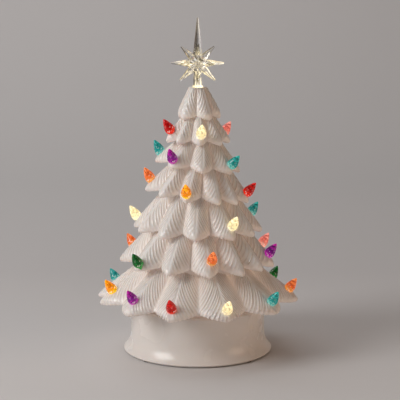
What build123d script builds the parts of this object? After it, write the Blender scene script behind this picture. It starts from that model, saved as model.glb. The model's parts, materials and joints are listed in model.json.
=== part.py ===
from build123d import *
import math
import os

# Ceramic tabletop tree with a battery lamp. Millimetres, Z up.
# The origin is on the floor under the tree's axis and the front is -Y.
# Angles about the axis are degrees from the front towards +X.

# Overall sizes
star_tip_height = 368.0
neck_height = 293.0
seat_height = 52.0
tree_radius = 112.0
foot_radius = 82.5
drum_radius = 74.3

# Tree shell: seven tiers of boughs, listed from the top tier down
tree_wall = 3.6
neck_radius = 9.7
tree_foot_radius = 68.5
tree_foot_wall = 6.0
# Angle of each bough; the spacing is uneven, as on a hand-modelled tree
bough_turns = (
    (-125.0, -40.0, 30.0, 88.0, 155.0),
    (-120.0, -74.0, -38.0, 4.0, 46.0, 85.0, 122.0, 184.0),
    (-136.0, -90.0, -37.0, 6.0, 52.0, 94.0, 132.0, 164.0, 194.0),
    (-128.0, -84.0, -44.0, -13.0, 23.0, 48.0, 74.0, 112.0, 150.0, 190.0),
    (-148.0, -122.0, -95.0, -64.0, -32.0, -2.0, 31.0, 60.0, 88.0, 114.0, 145.0, 178.0),
    (-142.0, -119.0, -88.0, -50.0, -22.0, 8.0, 34.0, 55.0, 77.0, 114.0, 141.0, 168.0, 195.0),
    (-141.0, -119.0, -93.5, -73.0, -43.0, -14.5, 15.5, 48.5, 84.0, 125.0, 150.0, 173.0, 196.0),
)
bough_slopes = (65.0, 55.0, 48.0, 49.0, 51.0, 48.0, 38.5)
tier_leans = (0.0, 2.0, 7.0, 6.0, 1.2, 1.0, 0.0)
tip_radius_shares = (0.226, 0.321, 0.425, 0.524, 0.64, 0.775, 1.0)
tip_height_shares = (0.869, 0.761, 0.645, 0.519, 0.359, 0.2075, 0.0334)
valley_depth_shares = (0.32, 0.35, 0.32, 0.3, 0.24, 0.26, 0.16)
top_valley_share = 0.2
nose_valley_share = 0.9
flank_share = 0.36
lip_drop = 3.5
lip_inset = 3.0
nose_rise = 6.0
nose_bulge = 2.0
tier_overlap = 10.0
undercut_rise = 5.0
collar_inset = 1.5
collar_drop = 9.0

# Bulbs: clear coloured plugs pushed and bonded into bored boughs
bulb_radius = 5.7
bulb_length = 17.2
# Half outline of a bulb above its shoulder, as shares of its radius and its length
bulb_outline_shares = (
    (0.74, 0.0),
    (0.92, 0.08),
    (1.0, 0.2),
    (0.99, 0.3),
    (0.9, 0.44),
    (0.7, 0.62),
    (0.43, 0.81),
    (0.17, 0.95),
    (0.0, 1.0),
)
peg_radius = 2.9
peg_length = 6.0
peg_lead = 0.8
peg_clearance = 0.15
seat_sink = 1.5
seat_clearance = 0.5
bulb_rise_angle = 55.0
bore_depth = 8.0
# Distance of each bulb inside the tips, as a share of the tier's radius
bulb_inset_shares = (
    (),
    (0.14, 0.11, 0.06, 0.12),
    (0.12, 0.08, 0.09, 0.1, 0.1),
    (0.107, 0.04, 0.067, 0.08, 0.08),
    (0.06, 0.09, 0.113, 0.09, 0.09),
    (0.04, 0.03, 0.115, 0.086, 0.1, 0.08, 0.08),
    (0.05, 0.13, 0.114, 0.079, 0.066, 0.081, 0.098, 0.055, 0.09, 0.09, 0.09, 0.09),
)
# Angle of each bulb, tier by tier
bulb_turns = (
    (),
    (-72.0, 6.0, 123.0, 184.0),
    (-94.0, -39.0, 55.0, 164.0, 194.0),
    (-85.0, -13.0, 75.4, 150.0, 190.0),
    (-96.5, 34.0, 112.0, 178.0, 212.0),
    (-119.0, -48.5, 11.0, 76.5, 113.0, 168.0, 195.0),
    (-119.0, -71.5, -43.4, -15.3, 17.0, 50.0, 83.0, 126.0, 150.0, 173.0, 196.0, 219.0),
)

# Star topper: clear pointed star on a stem with a peg
star_height = 319.0
ray_half_width = 5.9
ray_tip_half_width = 0.8
side_ray_length = 28.5
slant_ray_length = 25.5
low_ray_length = 27.0
stem_top_radius = 3.9
stem_foot_radius = 4.9
flange_radius = 5.6
flange_thickness = 1.6
star_peg_radius = 4.4
star_peg_length = 16.0
star_peg_clearance = 0.3

# Base shell: glazed drum with a coved foot and a seat for the tree
base_wall = 6.3
foot_band_height = 4.5
cove_top_height = 22.0
cove_width_share = 0.34
cove_height_share = 0.33
foot_clearance = 1.0
shelf_thickness = 6.0
shelf_hole_radius = 45.0
locating_height = 4.0
locating_wall = 5.0
locating_clearance = 0.6
edge_round = 1.5
plate_ledge = 3.0

# Rubber feet under the base shell
pad_count = 4
pad_radius = 4.0
pad_depth = 1.0

# Base plate, closing the drum from below
plate_top_height = 8.0
plate_thickness = 2.8
plate_clearance = 0.3

# Battery box with three AA cells side by side
cell_count = 3
cell_radius = 7.1
cell_length = 49.2
cell_nub_radius = 2.7
cell_nub_length = 1.3
cell_gap = 0.7
cell_end_room = 3.2
box_wall = 2.0
contact_thickness = 0.5
contact_width = 9.0
contact_height = 8.0
spring_radius = 3.0
spring_wire_radius = 0.4
spring_turns = 3
spring_seat_gap = 0.05
box_foot_width = 12.0
box_foot_thickness = 2.4
box_foot_length = 12.0

# Sliding battery door under the plate
door_thickness = 1.8
door_border = 3.0
door_gap = 0.3
rail_thickness = 1.2
rail_width = 4.0
door_tongue_thickness = 1.0
grip_count = 4
grip_width = 1.2
grip_depth = 0.5
grip_pitch = 2.6

# Screws that hold the battery box to the plate
screw_radius = 1.3
screw_head_radius = 2.6
screw_head_height = 1.5
screw_clearance = 0.1

# Slide switch behind the battery box
switch_centre_y = -46.0
switch_length = 17.0
switch_width = 7.0
switch_height = 6.0
switch_wall = 1.0
slider_length = 8.0
slider_width = 4.0
slider_height = 2.5
knob_length = 4.0
knob_width = 3.0
knob_drop = 1.2
switch_travel = 4.0
switch_gap = 0.3
terminal_width = 1.6
terminal_height = 2.5
terminal_thickness = 0.6

# Lamp post and its round board with warm light-emitting diodes
post_height = 46.0
post_radius = 6.0
post_bore = 4.0
post_flange_radius = 15.0
post_flange_thickness = 2.0
wire_slot_width = 4.0
wire_slot_height = 4.0
board_radius = 12.0
board_thickness = 1.6
diode_radius = 2.5
diode_barrel = 4.0
diode_flange_radius = 2.9
diode_flange_thickness = 1.0
diode_ring_radius = 8.0
diode_ring_count = 6

# Wires inside the base and the lamp post
wire_radius = 0.7
wire_bend = 2.2
wire_lift = 0.4
wire_spread = 1.6

overrun = 2.0

# Worked-out sizes
tree_rise = neck_height - seat_height
tip_radii = [share * tree_radius for share in tip_radius_shares]
tip_heights = [seat_height + share * tree_rise for share in tip_height_shares]
lip_heights = [height - lip_drop for height in tip_heights]
valley_depths = [share * radius for share, radius in zip(valley_depth_shares, tip_radii)]
tier_count = len(bough_turns)
lowest = tier_count - 1
star_ray_length = star_tip_height - star_height
inner_radius = drum_radius - base_wall
plate_pocket_radius = inner_radius + plate_ledge
plate_radius = plate_pocket_radius - plate_clearance
plate_bottom_height = plate_top_height - plate_thickness
tree_bore_radius = tree_foot_radius - tree_foot_wall
locating_radius = tree_bore_radius - locating_clearance
star_bore_radius = star_peg_radius + star_peg_clearance
cell_pitch = 2 * cell_radius + cell_gap
cell_height = plate_top_height + cell_gap + cell_radius
box_inside_length = cell_length + cell_nub_length + 2 * contact_thickness + cell_end_room
box_inside_width = cell_count * cell_pitch + cell_gap
box_length = box_inside_length + 2 * box_wall
box_width = box_inside_width + 2 * box_wall
box_inside_top = cell_height + cell_radius + cell_gap
box_top_height = box_inside_top + box_wall
post_top_height = box_top_height + post_height
board_top_height = post_top_height + board_thickness
door_top_height = plate_bottom_height - door_gap
door_length = box_inside_length + 2 * door_border
door_width = box_inside_width + 2 * door_border
pad_ring_radius = (foot_radius + plate_pocket_radius) / 2
box_foot_x = box_inside_length / 2 - box_foot_length / 2
box_foot_y = box_width / 2 + box_foot_width / 2
wire_height = box_top_height + post_flange_thickness + wire_radius + wire_lift


def polar(radius, angle, height=0):
    """Point at a radius and an angle from the front."""
    turn = math.radians(angle)
    return (radius * math.sin(turn), -radius * math.cos(turn), height)


def revolved(points):
    """Solid of revolution about Z of a closed outline of (radius, height) points."""
    corners = [(radius, 0, height) for radius, height in points]
    return revolve(make_face(Polyline(*corners, close=True)), axis=Axis.Z)


def block(length, width, low, high, centre_x=0, centre_y=0):
    """Upright box between two heights."""
    place = Pos(centre_x, centre_y, (low + high) / 2)
    return place * Box(length, width, high - low)


def disc(radius, low, high, centre_x=0, centre_y=0):
    """Upright cylinder between two heights."""
    place = Pos(centre_x, centre_y, (low + high) / 2)
    return place * Cylinder(radius, high - low)


def tier_place(tier):
    """Where the slight hand-made lean puts one tier."""
    pivot = tip_heights[tier]
    return Pos(0, 0, pivot) * Rot(0, tier_leans[tier], 0) * Pos(0, 0, -pivot)


def tier_top(tier):
    """Height and crest radius where a tier disappears into the one above."""
    if tier == 0:
        return neck_height, neck_radius
    height = lip_heights[tier - 1] + tier_overlap
    run = (height - tip_heights[tier]) / math.tan(math.radians(bough_slopes[tier]))
    return height, tip_radii[tier] - run


def collar_radius(tier):
    """Radius of the core under a tier's lip."""
    if tier == lowest:
        return tree_foot_radius
    return tip_radii[tier] - valley_depths[tier] - collar_inset


def tier_foot(tier):
    """Height at which a tier's core ends."""
    if tier == lowest:
        return seat_height
    return lip_heights[tier] - collar_drop


def bough_sectors(tier):
    """Start, middle and end angle of each bough, from valley to valley."""
    middles = bough_turns[tier]
    sectors = []
    for number, middle in enumerate(middles):
        before = middles[number - 1] - (360 if number == 0 else 0)
        after = middles[number + 1] if number + 1 < len(middles) else middles[0] + 360
        sectors.append(((before + middle) / 2, middle, (middle + after) / 2))
    return sectors


def lobed_wire(tier, crest, depth, height):
    """Closed outline with one ridged lobe for each bough."""
    valley = crest - depth
    flank = crest - depth * flank_share
    edges = []
    for start, middle, end in bough_sectors(tier):
        ridge = polar(crest, middle, height)
        rising = polar(flank, (start + middle) / 2, height)
        falling = polar(flank, (middle + end) / 2, height)
        edges.append(ThreePointArc(polar(valley, start, height), rising, ridge).edge())
        edges.append(ThreePointArc(ridge, falling, polar(valley, end, height)).edge())
    return Wire(edges)


def star_wire(tier, crest, valley, height):
    """Closed straight-sided outline with one point for each bough."""
    corners = []
    for start, middle, _ in bough_sectors(tier):
        corners.append(Vector(*polar(valley, start, height)))
        corners.append(Vector(*polar(crest, middle, height)))
    return Wire.make_polygon(corners)


def nose_radius(tier):
    """Crest radius at the top of a bough's rounded nose."""
    run = nose_rise / math.tan(math.radians(bough_slopes[tier]))
    return tip_radii[tier] - run + nose_bulge


def crest_height(tier, radius):
    """Height of a bough's crest at a radius."""
    nose = nose_radius(tier)
    nose_height = tip_heights[tier] + nose_rise
    if radius > nose:
        return tip_heights[tier] + nose_rise * (tip_radii[tier] - radius) / (tip_radii[tier] - nose)
    top, top_radius = tier_top(tier)
    return nose_height + (top - nose_height) * (nose - radius) / (nose - top_radius)


def under_lip(tier, inner, low, lift):
    """Ring under a tier's lips, raised by the given length."""
    radius = tip_radii[tier]
    lip = lip_heights[tier] + lift
    return revolved(
        [
            (inner, low),
            (radius + overrun, low),
            (radius + overrun, lip),
            (radius - lip_inset, lip),
            (radius - valley_depths[tier], lip + undercut_rise),
            (inner, lip + undercut_rise),
        ]
    )


def make_tier(tier):
    """One tier of drooping boughs with an undercut lip."""
    radius = tip_radii[tier]
    depth = valley_depths[tier]
    tip = tip_heights[tier]
    top, top_radius = tier_top(tier)
    foot = tier_foot(tier)
    wires = [
        lobed_wire(tier, top_radius, depth * top_valley_share, top),
        lobed_wire(tier, nose_radius(tier), depth * nose_valley_share, tip + nose_rise),
        lobed_wire(tier, radius, depth, tip),
        lobed_wire(tier, radius - lip_inset, depth, lip_heights[tier]),
        lobed_wire(tier, radius - lip_inset, depth, foot),
    ]
    body = Solid.make_loft(wires, ruled=True)
    return tier_place(tier) * (body - under_lip(tier, collar_radius(tier), foot - overrun, 0))


def make_top_hollow():
    """Space inside the top tier, up to the neck bore."""
    reach = collar_radius(0) - tree_wall
    valley = tip_radii[0] - valley_depths[0]
    top_valley = neck_radius - valley_depths[0] * top_valley_share
    slope = (neck_height - tip_heights[0]) / (valley - top_valley)
    top = tip_heights[0] + (reach - star_bore_radius) * slope
    return revolved(
        [
            (0, top),
            (star_bore_radius, top),
            (reach, tip_heights[0]),
            (reach, lip_heights[0]),
            (0, lip_heights[0]),
        ]
    )


def make_tier_hollow(tier):
    """Space inside one tier and its boughs, one wall in from the outside."""
    top, top_radius = tier_top(tier)
    depth = valley_depths[tier]
    tip = tip_heights[tier]
    radius = tip_radii[tier]
    nose = nose_radius(tier)
    inset = tree_wall / math.sin(math.radians(bough_slopes[tier]))
    low = seat_height - overrun if tier == lowest else lip_heights[tier]
    reach = tree_bore_radius if tier == lowest else collar_radius(tier) - tree_wall
    tip_crest = radius - lip_inset - tree_wall
    tip_valley = radius - depth - inset
    wires = [
        star_wire(tier, top_radius - inset, top_radius - depth * top_valley_share - inset, top),
        star_wire(tier, nose - inset, nose - depth * nose_valley_share - inset, tip + nose_rise),
        star_wire(tier, tip_crest, tip_valley, tip),
        star_wire(tier, tip_crest, tip_valley, low),
    ]
    body = Solid.make_loft(wires, ruled=True)
    return tier_place(tier) * (body - under_lip(tier, reach, low - overrun, tree_wall))


def bulb_place(tier, angle, inset_share):
    """Where a bulb's shoulder sits on a bough; local +Z runs out along the bulb."""
    rise = math.radians(bulb_rise_angle)
    radius = tip_radii[tier] * (1 - inset_share)
    direction = polar(math.cos(rise), angle, math.sin(rise))
    origin = polar(radius, angle, crest_height(tier, radius))
    seat = Plane(origin=origin, z_dir=direction).offset(-seat_sink)
    return tier_place(tier) * Location(seat)


def bulb_spots():
    """Name and place of each bulb, tier by tier."""
    spots = []
    for tier, angles in enumerate(bulb_turns):
        for number, angle in enumerate(angles):
            place = bulb_place(tier, angle, bulb_inset_shares[tier][number])
            spots.append((f"bulb_tier{tier + 1}_{number + 1}", place))
    return spots


def make_bulb():
    """Pointed bulb standing on its shoulder, with its peg below."""
    lead = peg_radius - peg_lead
    outline = [
        (0, -peg_length),
        (lead, -peg_length),
        (peg_radius, peg_lead - peg_length),
        (peg_radius, 0),
    ]
    for radius_share, length_share in bulb_outline_shares:
        outline.append((bulb_radius * radius_share, bulb_length * length_share))
    return revolved(outline)


def make_bulb_bore():
    """Bored hole and flat seat for one bulb, in the bulb's own frame."""
    bore = disc(peg_radius + peg_clearance, -bore_depth, 0)
    face = disc(bulb_radius + seat_clearance, 0, bulb_length)
    return bore + face


def make_tree_shell():
    """Hollow glazed tree with its boughs, neck bore and bulb bores."""
    body = make_tier(0)
    for tier in range(1, tier_count):
        body = body + make_tier(tier)
    body = body - make_top_hollow()
    for tier in range(1, tier_count):
        body = body - make_tier_hollow(tier)
    body = body - disc(star_bore_radius, tip_heights[0], neck_height + overrun)
    bores = [place * make_bulb_bore() for _, place in bulb_spots()]
    return body - bores


def make_ray(length, rise, turn):
    """One four-sided ray of the star, from its centre to a small blunt end."""
    corners = range(0, 360, 90)
    root = [Vector(*polar(ray_half_width, corner)) for corner in corners]
    point = [Vector(*polar(ray_tip_half_width, corner, length)) for corner in corners]
    ray = Solid.make_loft([Wire.make_polygon(root), Wire.make_polygon(point)], ruled=True)
    return Pos(0, 0, star_height) * Rot(0, 0, turn) * Rot(90 - rise, 0, 0) * ray


def make_star_topper():
    """Clear star with one tall ray, a stem, a flange and the peg in the neck."""
    star = make_ray(star_ray_length, 90, 0)
    for turn in range(0, 360, 90):
        star = star + make_ray(slant_ray_length, 45, turn)
        star = star + make_ray(side_ray_length, 0, turn)
        star = star + make_ray(slant_ray_length, 0, turn + 45)
        star = star + make_ray(low_ray_length, -45, turn)
    stem = revolved(
        [
            (0, neck_height - star_peg_length),
            (star_peg_radius, neck_height - star_peg_length),
            (star_peg_radius, neck_height),
            (flange_radius, neck_height),
            (flange_radius, neck_height + flange_thickness),
            (stem_foot_radius, neck_height + flange_thickness),
            (stem_top_radius, star_height),
            (0, star_height),
        ]
    )
    return star + stem


def make_base_shell():
    """Glazed drum with a coved foot, a shelf for the tree and a locating ring."""
    cove = ThreePointArc(
        (foot_radius - edge_round, 0, foot_band_height),
        (
            drum_radius + (foot_radius - drum_radius) * cove_width_share,
            0,
            foot_band_height + (cove_top_height - foot_band_height) * cove_height_share,
        ),
        (drum_radius, 0, cove_top_height),
    )
    points = [
        (drum_radius, 0, cove_top_height),
        (drum_radius, 0, seat_height - edge_round),
        (drum_radius - edge_round, 0, seat_height),
        (locating_radius, 0, seat_height),
        (locating_radius, 0, seat_height + locating_height),
        (locating_radius - locating_wall, 0, seat_height + locating_height),
        (locating_radius - locating_wall, 0, seat_height),
        (shelf_hole_radius, 0, seat_height),
        (shelf_hole_radius, 0, seat_height - shelf_thickness),
        (inner_radius, 0, seat_height - shelf_thickness),
        (inner_radius, 0, plate_top_height),
        (plate_pocket_radius, 0, plate_top_height),
        (plate_pocket_radius, 0, foot_clearance),
        (foot_radius - edge_round, 0, foot_clearance),
        (foot_radius, 0, foot_clearance + edge_round),
        (foot_radius, 0, foot_band_height - edge_round),
        (foot_radius - edge_round, 0, foot_band_height),
    ]
    outline = Wire([cove.edge()] + Polyline(*points).edges())
    shell = revolve(make_face(outline), axis=Axis.Z)
    return shell - make_pads(overrun)


def make_pads(extra):
    """Rubber feet under the drum, made longer below by the given length."""
    pads = []
    for pad in range(pad_count):
        x, y, _ = polar(pad_ring_radius, 360 / pad_count * (pad + 0.5))
        pads.append(disc(pad_radius, -extra, foot_clearance + pad_depth, x, y))
    return pads


def make_rubber_feet():
    """Rubber feet set in the foot of the drum."""
    return Compound(children=make_pads(0))


def screw_points():
    """Places of the four battery box screws."""
    return [(x, y) for x in (-box_foot_x, box_foot_x) for y in (-box_foot_y, box_foot_y)]


def make_base_plate():
    """Disc that closes the drum, with the cell opening and the door's rails."""
    plate = disc(plate_radius, plate_bottom_height, plate_top_height)
    low = plate_bottom_height - overrun
    high = plate_top_height + overrun
    plate = plate - block(box_inside_length, box_inside_width, low, high)
    slot = knob_length + switch_travel + 2 * switch_gap
    plate = plate - block(slot, knob_width + 2 * switch_gap, low, high, 0, switch_centre_y)
    rail_low = door_top_height - door_tongue_thickness - door_gap - rail_thickness
    for side in (-1, 1):
        inner = door_width / 2 + door_gap
        wall_y = side * (inner + rail_thickness / 2)
        plate = plate + block(door_length, rail_thickness, rail_low, plate_bottom_height, 0, wall_y)
        lip_y = side * (inner + rail_thickness - rail_width / 2)
        lip_top = rail_low + rail_thickness
        plate = plate + block(door_length, rail_width, rail_low, lip_top, 0, lip_y)
    for x, y in screw_points():
        plate = plate - disc(screw_radius + screw_clearance, low, high, x, y)
    return plate


def make_battery_door():
    """Cover that slides in the rails under the plate, with a ribbed grip."""
    low = door_top_height - door_thickness
    door = block(door_length, door_width, door_top_height - door_tongue_thickness, door_top_height)
    middle_width = door_width - 2 * (rail_width - rail_thickness + door_gap)
    door = door + block(door_length, middle_width, low, door_top_height)
    for rib in range(grip_count):
        x = door_length / 2 - door_border - rib * grip_pitch
        door = door - block(grip_width, middle_width / 2, low - overrun, low + grip_depth, x)
    return door


def make_battery_box():
    """Tray for three cells, open below, with four screwed feet."""
    box = block(box_length, box_width, plate_top_height, box_top_height)
    box = box - block(box_inside_length, box_inside_width, plate_top_height - overrun, box_inside_top)
    top = plate_top_height + box_foot_thickness
    for x, y in screw_points():
        box = box + block(box_foot_length, box_foot_width, plate_top_height, top, x, y)
    for x, y in screw_points():
        box = box - disc(screw_radius + screw_clearance, plate_top_height - overrun, top + overrun, x, y)
    return box


def cell_rows():
    """Place across the box and direction of each cell; neighbours face opposite ways."""
    rows = []
    for cell in range(cell_count):
        across = (cell - (cell_count - 1) / 2) * cell_pitch
        rows.append((across, 1 if cell % 2 == 0 else -1))
    return rows


def contact_face():
    """Distance from the middle of the box to the inner face of a contact."""
    return box_inside_length / 2 - contact_thickness


def make_batteries():
    """Three cells; each nub touches its contact."""
    cells = []
    for across, way in cell_rows():
        can = disc(cell_radius, 0, cell_length)
        cell = can + disc(cell_nub_radius, cell_length, cell_length + cell_nub_length)
        start = contact_face() - cell_nub_length - cell_length
        cells.append(Pos(way * start, across, cell_height) * Rot(0, way * 90, 0) * cell)
    return Compound(children=cells)


def make_contact_plates():
    """Flat contacts at both ends of each cell."""
    plates = []
    low = cell_height - contact_height / 2
    for across, _ in cell_rows():
        for end in (-1, 1):
            x = end * (contact_face() + contact_thickness / 2)
            plates.append(block(contact_thickness, contact_width, low, low + contact_height, x, across))
    return Compound(children=plates)


def make_contact_springs():
    """Coil springs that press the flat end of each cell."""
    springs = []
    room = 2 * contact_face() - cell_length - cell_nub_length
    height = room - 2 * (spring_wire_radius + spring_seat_gap)
    path = Helix(height / spring_turns, height, spring_radius)
    start = path @ 0
    profile = Plane(origin=start, z_dir=path % 0) * Circle(spring_wire_radius)
    coil = sweep(profile, path=path)
    lift = spring_wire_radius + spring_seat_gap
    for across, way in cell_rows():
        place = Pos(-way * (contact_face() - lift), across, cell_height) * Rot(0, way * 90, 0)
        springs.append(place * coil)
    return Compound(children=springs)


def make_screws():
    """Pan-head screws from below into the battery box feet."""
    screws = []
    top = plate_top_height + box_foot_thickness
    for x, y in screw_points():
        head = disc(screw_head_radius, plate_bottom_height - screw_head_height, plate_bottom_height, x, y)
        screws.append(head + disc(screw_radius, plate_bottom_height, top, x, y))
    return Compound(children=screws)


def make_switch_body():
    """Housing of the slide switch, open below for the slider, with two terminals."""
    top = plate_top_height + switch_height
    body = block(switch_length, switch_width, plate_top_height, top, 0, switch_centre_y)
    room_length = slider_length + switch_travel + 2 * switch_gap
    room_width = slider_width + 2 * switch_gap
    room_top = plate_top_height + slider_height + 2 * switch_gap
    room_low = plate_top_height - overrun
    body = body - block(room_length, room_width, room_low, room_top, 0, switch_centre_y)
    for side in (-1, 1):
        x = side * terminal_x()
        tab = block(terminal_width, terminal_thickness, top, top + terminal_height, x, switch_centre_y)
        body = body + tab
    return body


def terminal_x():
    """Distance of a switch terminal from the middle of the switch."""
    return switch_length / 2 - terminal_width


def make_switch_slider():
    """Sliding contact carrier with the knob that comes through the plate."""
    low = plate_top_height + switch_gap
    x = -switch_travel / 2
    slider = block(slider_length, slider_width, low, low + slider_height, x, switch_centre_y)
    knob_low = plate_bottom_height - knob_drop
    return slider + block(knob_length, knob_width, knob_low, low + switch_gap, x, switch_centre_y)


def make_lamp_post():
    """Hollow post on the battery box, with a slot for the wires."""
    flange_top = box_top_height + post_flange_thickness
    post = disc(post_flange_radius, box_top_height, flange_top)
    post = post + disc(post_radius, flange_top, post_top_height)
    post = post - disc(post_bore, flange_top, post_top_height + overrun)
    slot_top = flange_top + wire_slot_height
    reach = post_radius + overrun
    post = post - block(reach, wire_slot_width, flange_top, slot_top, reach / 2)
    return post - block(wire_slot_width, reach, flange_top, slot_top, 0, -reach / 2)


def make_lamp_board():
    """Round circuit board on the post."""
    return disc(board_radius, post_top_height, board_top_height)


def make_diodes():
    """Domed diodes: one in the middle and a ring around it."""
    flange = disc(diode_flange_radius, 0, diode_flange_thickness)
    diode = flange + disc(diode_radius, diode_flange_thickness, diode_barrel)
    diode = diode + Pos(0, 0, diode_barrel) * Sphere(diode_radius)
    places = [(0, 0, board_top_height)]
    for number in range(diode_ring_count):
        places.append(polar(diode_ring_radius, 360 / diode_ring_count * number, board_top_height))
    return Compound(children=[Pos(*place) * diode for place in places])


def make_wire(points):
    """Insulated wire along straight runs joined by round bends."""
    path = FilletPolyline(*points, radius=wire_bend)
    start = Plane(origin=path @ 0, z_dir=path % 0)
    return sweep(start * Circle(wire_radius), path=path)


def make_wire_red():
    """From the end of the battery box over its top and up the post."""
    x = box_length / 2 + wire_radius
    low = cell_height
    points = [
        (x, 0, low),
        (x, 0, wire_height),
        (wire_spread, 0, wire_height),
        (wire_spread, 0, post_top_height),
    ]
    return make_wire(points)


def make_wire_black():
    """From a switch terminal over the battery box and up the post."""
    start = plate_top_height + switch_height + terminal_height
    y = switch_centre_y
    points = [
        (terminal_x(), y, start),
        (terminal_x(), y, wire_height),
        (0, y, wire_height),
        (0, -wire_spread, wire_height),
        (0, -wire_spread, post_top_height),
    ]
    return make_wire(points)


def make_wire_link():
    """From the other switch terminal to the end of the battery box."""
    start = plate_top_height + switch_height + terminal_height
    x = -box_length / 2 - wire_radius
    y = switch_centre_y
    points = [
        (-terminal_x(), y, start),
        (-terminal_x(), y, box_inside_top),
        (x, y, box_inside_top),
        (x, 0, box_inside_top),
    ]
    return make_wire(points)


makers = {
    "tree_shell": make_tree_shell,
    "base_shell": make_base_shell,
    "star_topper": make_star_topper,
    "rubber_feet": make_rubber_feet,
    "base_plate": make_base_plate,
    "battery_door": make_battery_door,
    "battery_box": make_battery_box,
    "batteries": make_batteries,
    "contact_plates": make_contact_plates,
    "contact_springs": make_contact_springs,
    "box_screws": make_screws,
    "switch_body": make_switch_body,
    "switch_slider": make_switch_slider,
    "lamp_post": make_lamp_post,
    "lamp_board": make_lamp_board,
    "lamp_diodes": make_diodes,
    "wire_red": make_wire_red,
    "wire_black": make_wire_black,
    "wire_link": make_wire_link,
}

os.makedirs("parts", exist_ok=True)
for name, maker in makers.items():
    export_step(maker(), f"parts/{name}.step")
for name, place in bulb_spots():
    export_step(place * make_bulb(), f"parts/{name}.step")
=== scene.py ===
"""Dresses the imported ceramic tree: needled glazed boughs, acrylic bulbs and star, and the lamp underneath."""

from __future__ import annotations

import json
import logging
import math
from dataclasses import dataclass, field
from enum import Enum
from typing import Any, Sequence

import bmesh
import bpy
import numpy as np
from bpy.types import ID, Material, Mesh, Node, NodeSocket, NodeTree, Object
from mathutils import Matrix, Vector
from numpy import ndarray
from numpy.random import Generator


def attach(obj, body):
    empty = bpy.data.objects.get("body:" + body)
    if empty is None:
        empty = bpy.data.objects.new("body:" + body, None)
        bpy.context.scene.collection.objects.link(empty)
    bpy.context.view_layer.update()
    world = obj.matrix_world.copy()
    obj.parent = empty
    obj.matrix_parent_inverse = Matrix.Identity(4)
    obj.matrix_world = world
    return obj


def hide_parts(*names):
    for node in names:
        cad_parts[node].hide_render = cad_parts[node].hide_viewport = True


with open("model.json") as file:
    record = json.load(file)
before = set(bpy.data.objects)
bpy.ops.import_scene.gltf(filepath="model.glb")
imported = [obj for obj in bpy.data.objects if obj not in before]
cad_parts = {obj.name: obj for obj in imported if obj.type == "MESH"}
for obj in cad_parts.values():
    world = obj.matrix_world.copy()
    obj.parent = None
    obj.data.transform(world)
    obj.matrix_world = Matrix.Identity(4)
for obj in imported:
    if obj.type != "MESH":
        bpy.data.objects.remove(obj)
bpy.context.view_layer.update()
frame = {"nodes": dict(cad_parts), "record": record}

LOG = logging.getLogger("ceramic_tree")
MM = 0.001
IMAGE_SIDE = 400
ONE_SPOT = 1e-9
FROM = ("From Min", "From Max")
TO = ("To Min", "To Max")
Pair = tuple[float, float]


def linear(colour: str) -> tuple[float, float, float, float]:
    """Turns an sRGB hex colour into linear red, green, blue and alpha.

    Args:
        colour: Hex text such as "#f2ece2".

    Returns:
        Linear components with alpha 1.
    """
    parts = [int(colour[i : i + 2], 16) / 255 for i in (1, 3, 5)]
    bright = [p / 12.92 if p <= 0.04045 else ((p + 0.055) / 1.055) ** 2.4 for p in parts]
    return (bright[0], bright[1], bright[2], 1.0)


def set_inputs(tree: NodeTree, node: Node, inputs: dict[Any, Any]) -> None:
    """Joins sockets to a node's inputs and sets the values of the others.

    Args:
        tree: Node tree that holds the node.
        node: Node whose inputs are filled.
        inputs: Output sockets or plain values by input name or number, and pairs of them by pairs of names.
    """
    for name, value in inputs.items():
        if isinstance(name, tuple):
            set_inputs(tree, node, dict(zip(name, value)))
        elif isinstance(value, NodeSocket):
            tree.links.new(value, node.inputs[name])
        else:
            node.inputs[name].default_value = value


def add_node(
    tree: NodeTree,
    kind: str,
    inputs: dict[Any, Any] | None = None,
    out: int | str = 0,
    stops: Sequence[tuple[float, str]] = (),
    **settings: Any,
) -> NodeSocket:
    """Adds one shader node with its inputs, its settings and, for a ramp, its colour stops.

    Args:
        tree: Node tree that takes the node.
        kind: Blender's node type name without its ShaderNode.
        inputs: What set_inputs takes.
        out: Name or number of the output that is handed on.
        stops: Positions and hex colours of a ramp, in order.
        settings: Node properties to set.

    Returns:
        That output's socket.
    """
    node = tree.nodes.new(f"ShaderNode{kind}")
    for name, value in settings.items():
        setattr(node, name, value)
    set_inputs(tree, node, inputs or {})
    if stops:
        elements = node.color_ramp.elements
        while len(elements) < len(stops):
            elements.new(1.0)
        for element, (place, colour) in zip(elements, stops):
            element.position = place
            element.color = linear(colour)
    return node.outputs[out]


def blank_material(name: str) -> tuple[Material, NodeTree, Node, NodeSocket]:
    """Makes a material that holds one Principled shader joined to its output.

    Args:
        name: Name of the material.

    Returns:
        The material, its node tree, the shader and where a point lies on the piece.
    """
    material = bpy.data.materials.new(name)
    material.use_nodes = True
    tree = material.node_tree
    return material, tree, tree.nodes["Principled BSDF"], add_node(tree, "TexCoord", out="Object")


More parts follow.
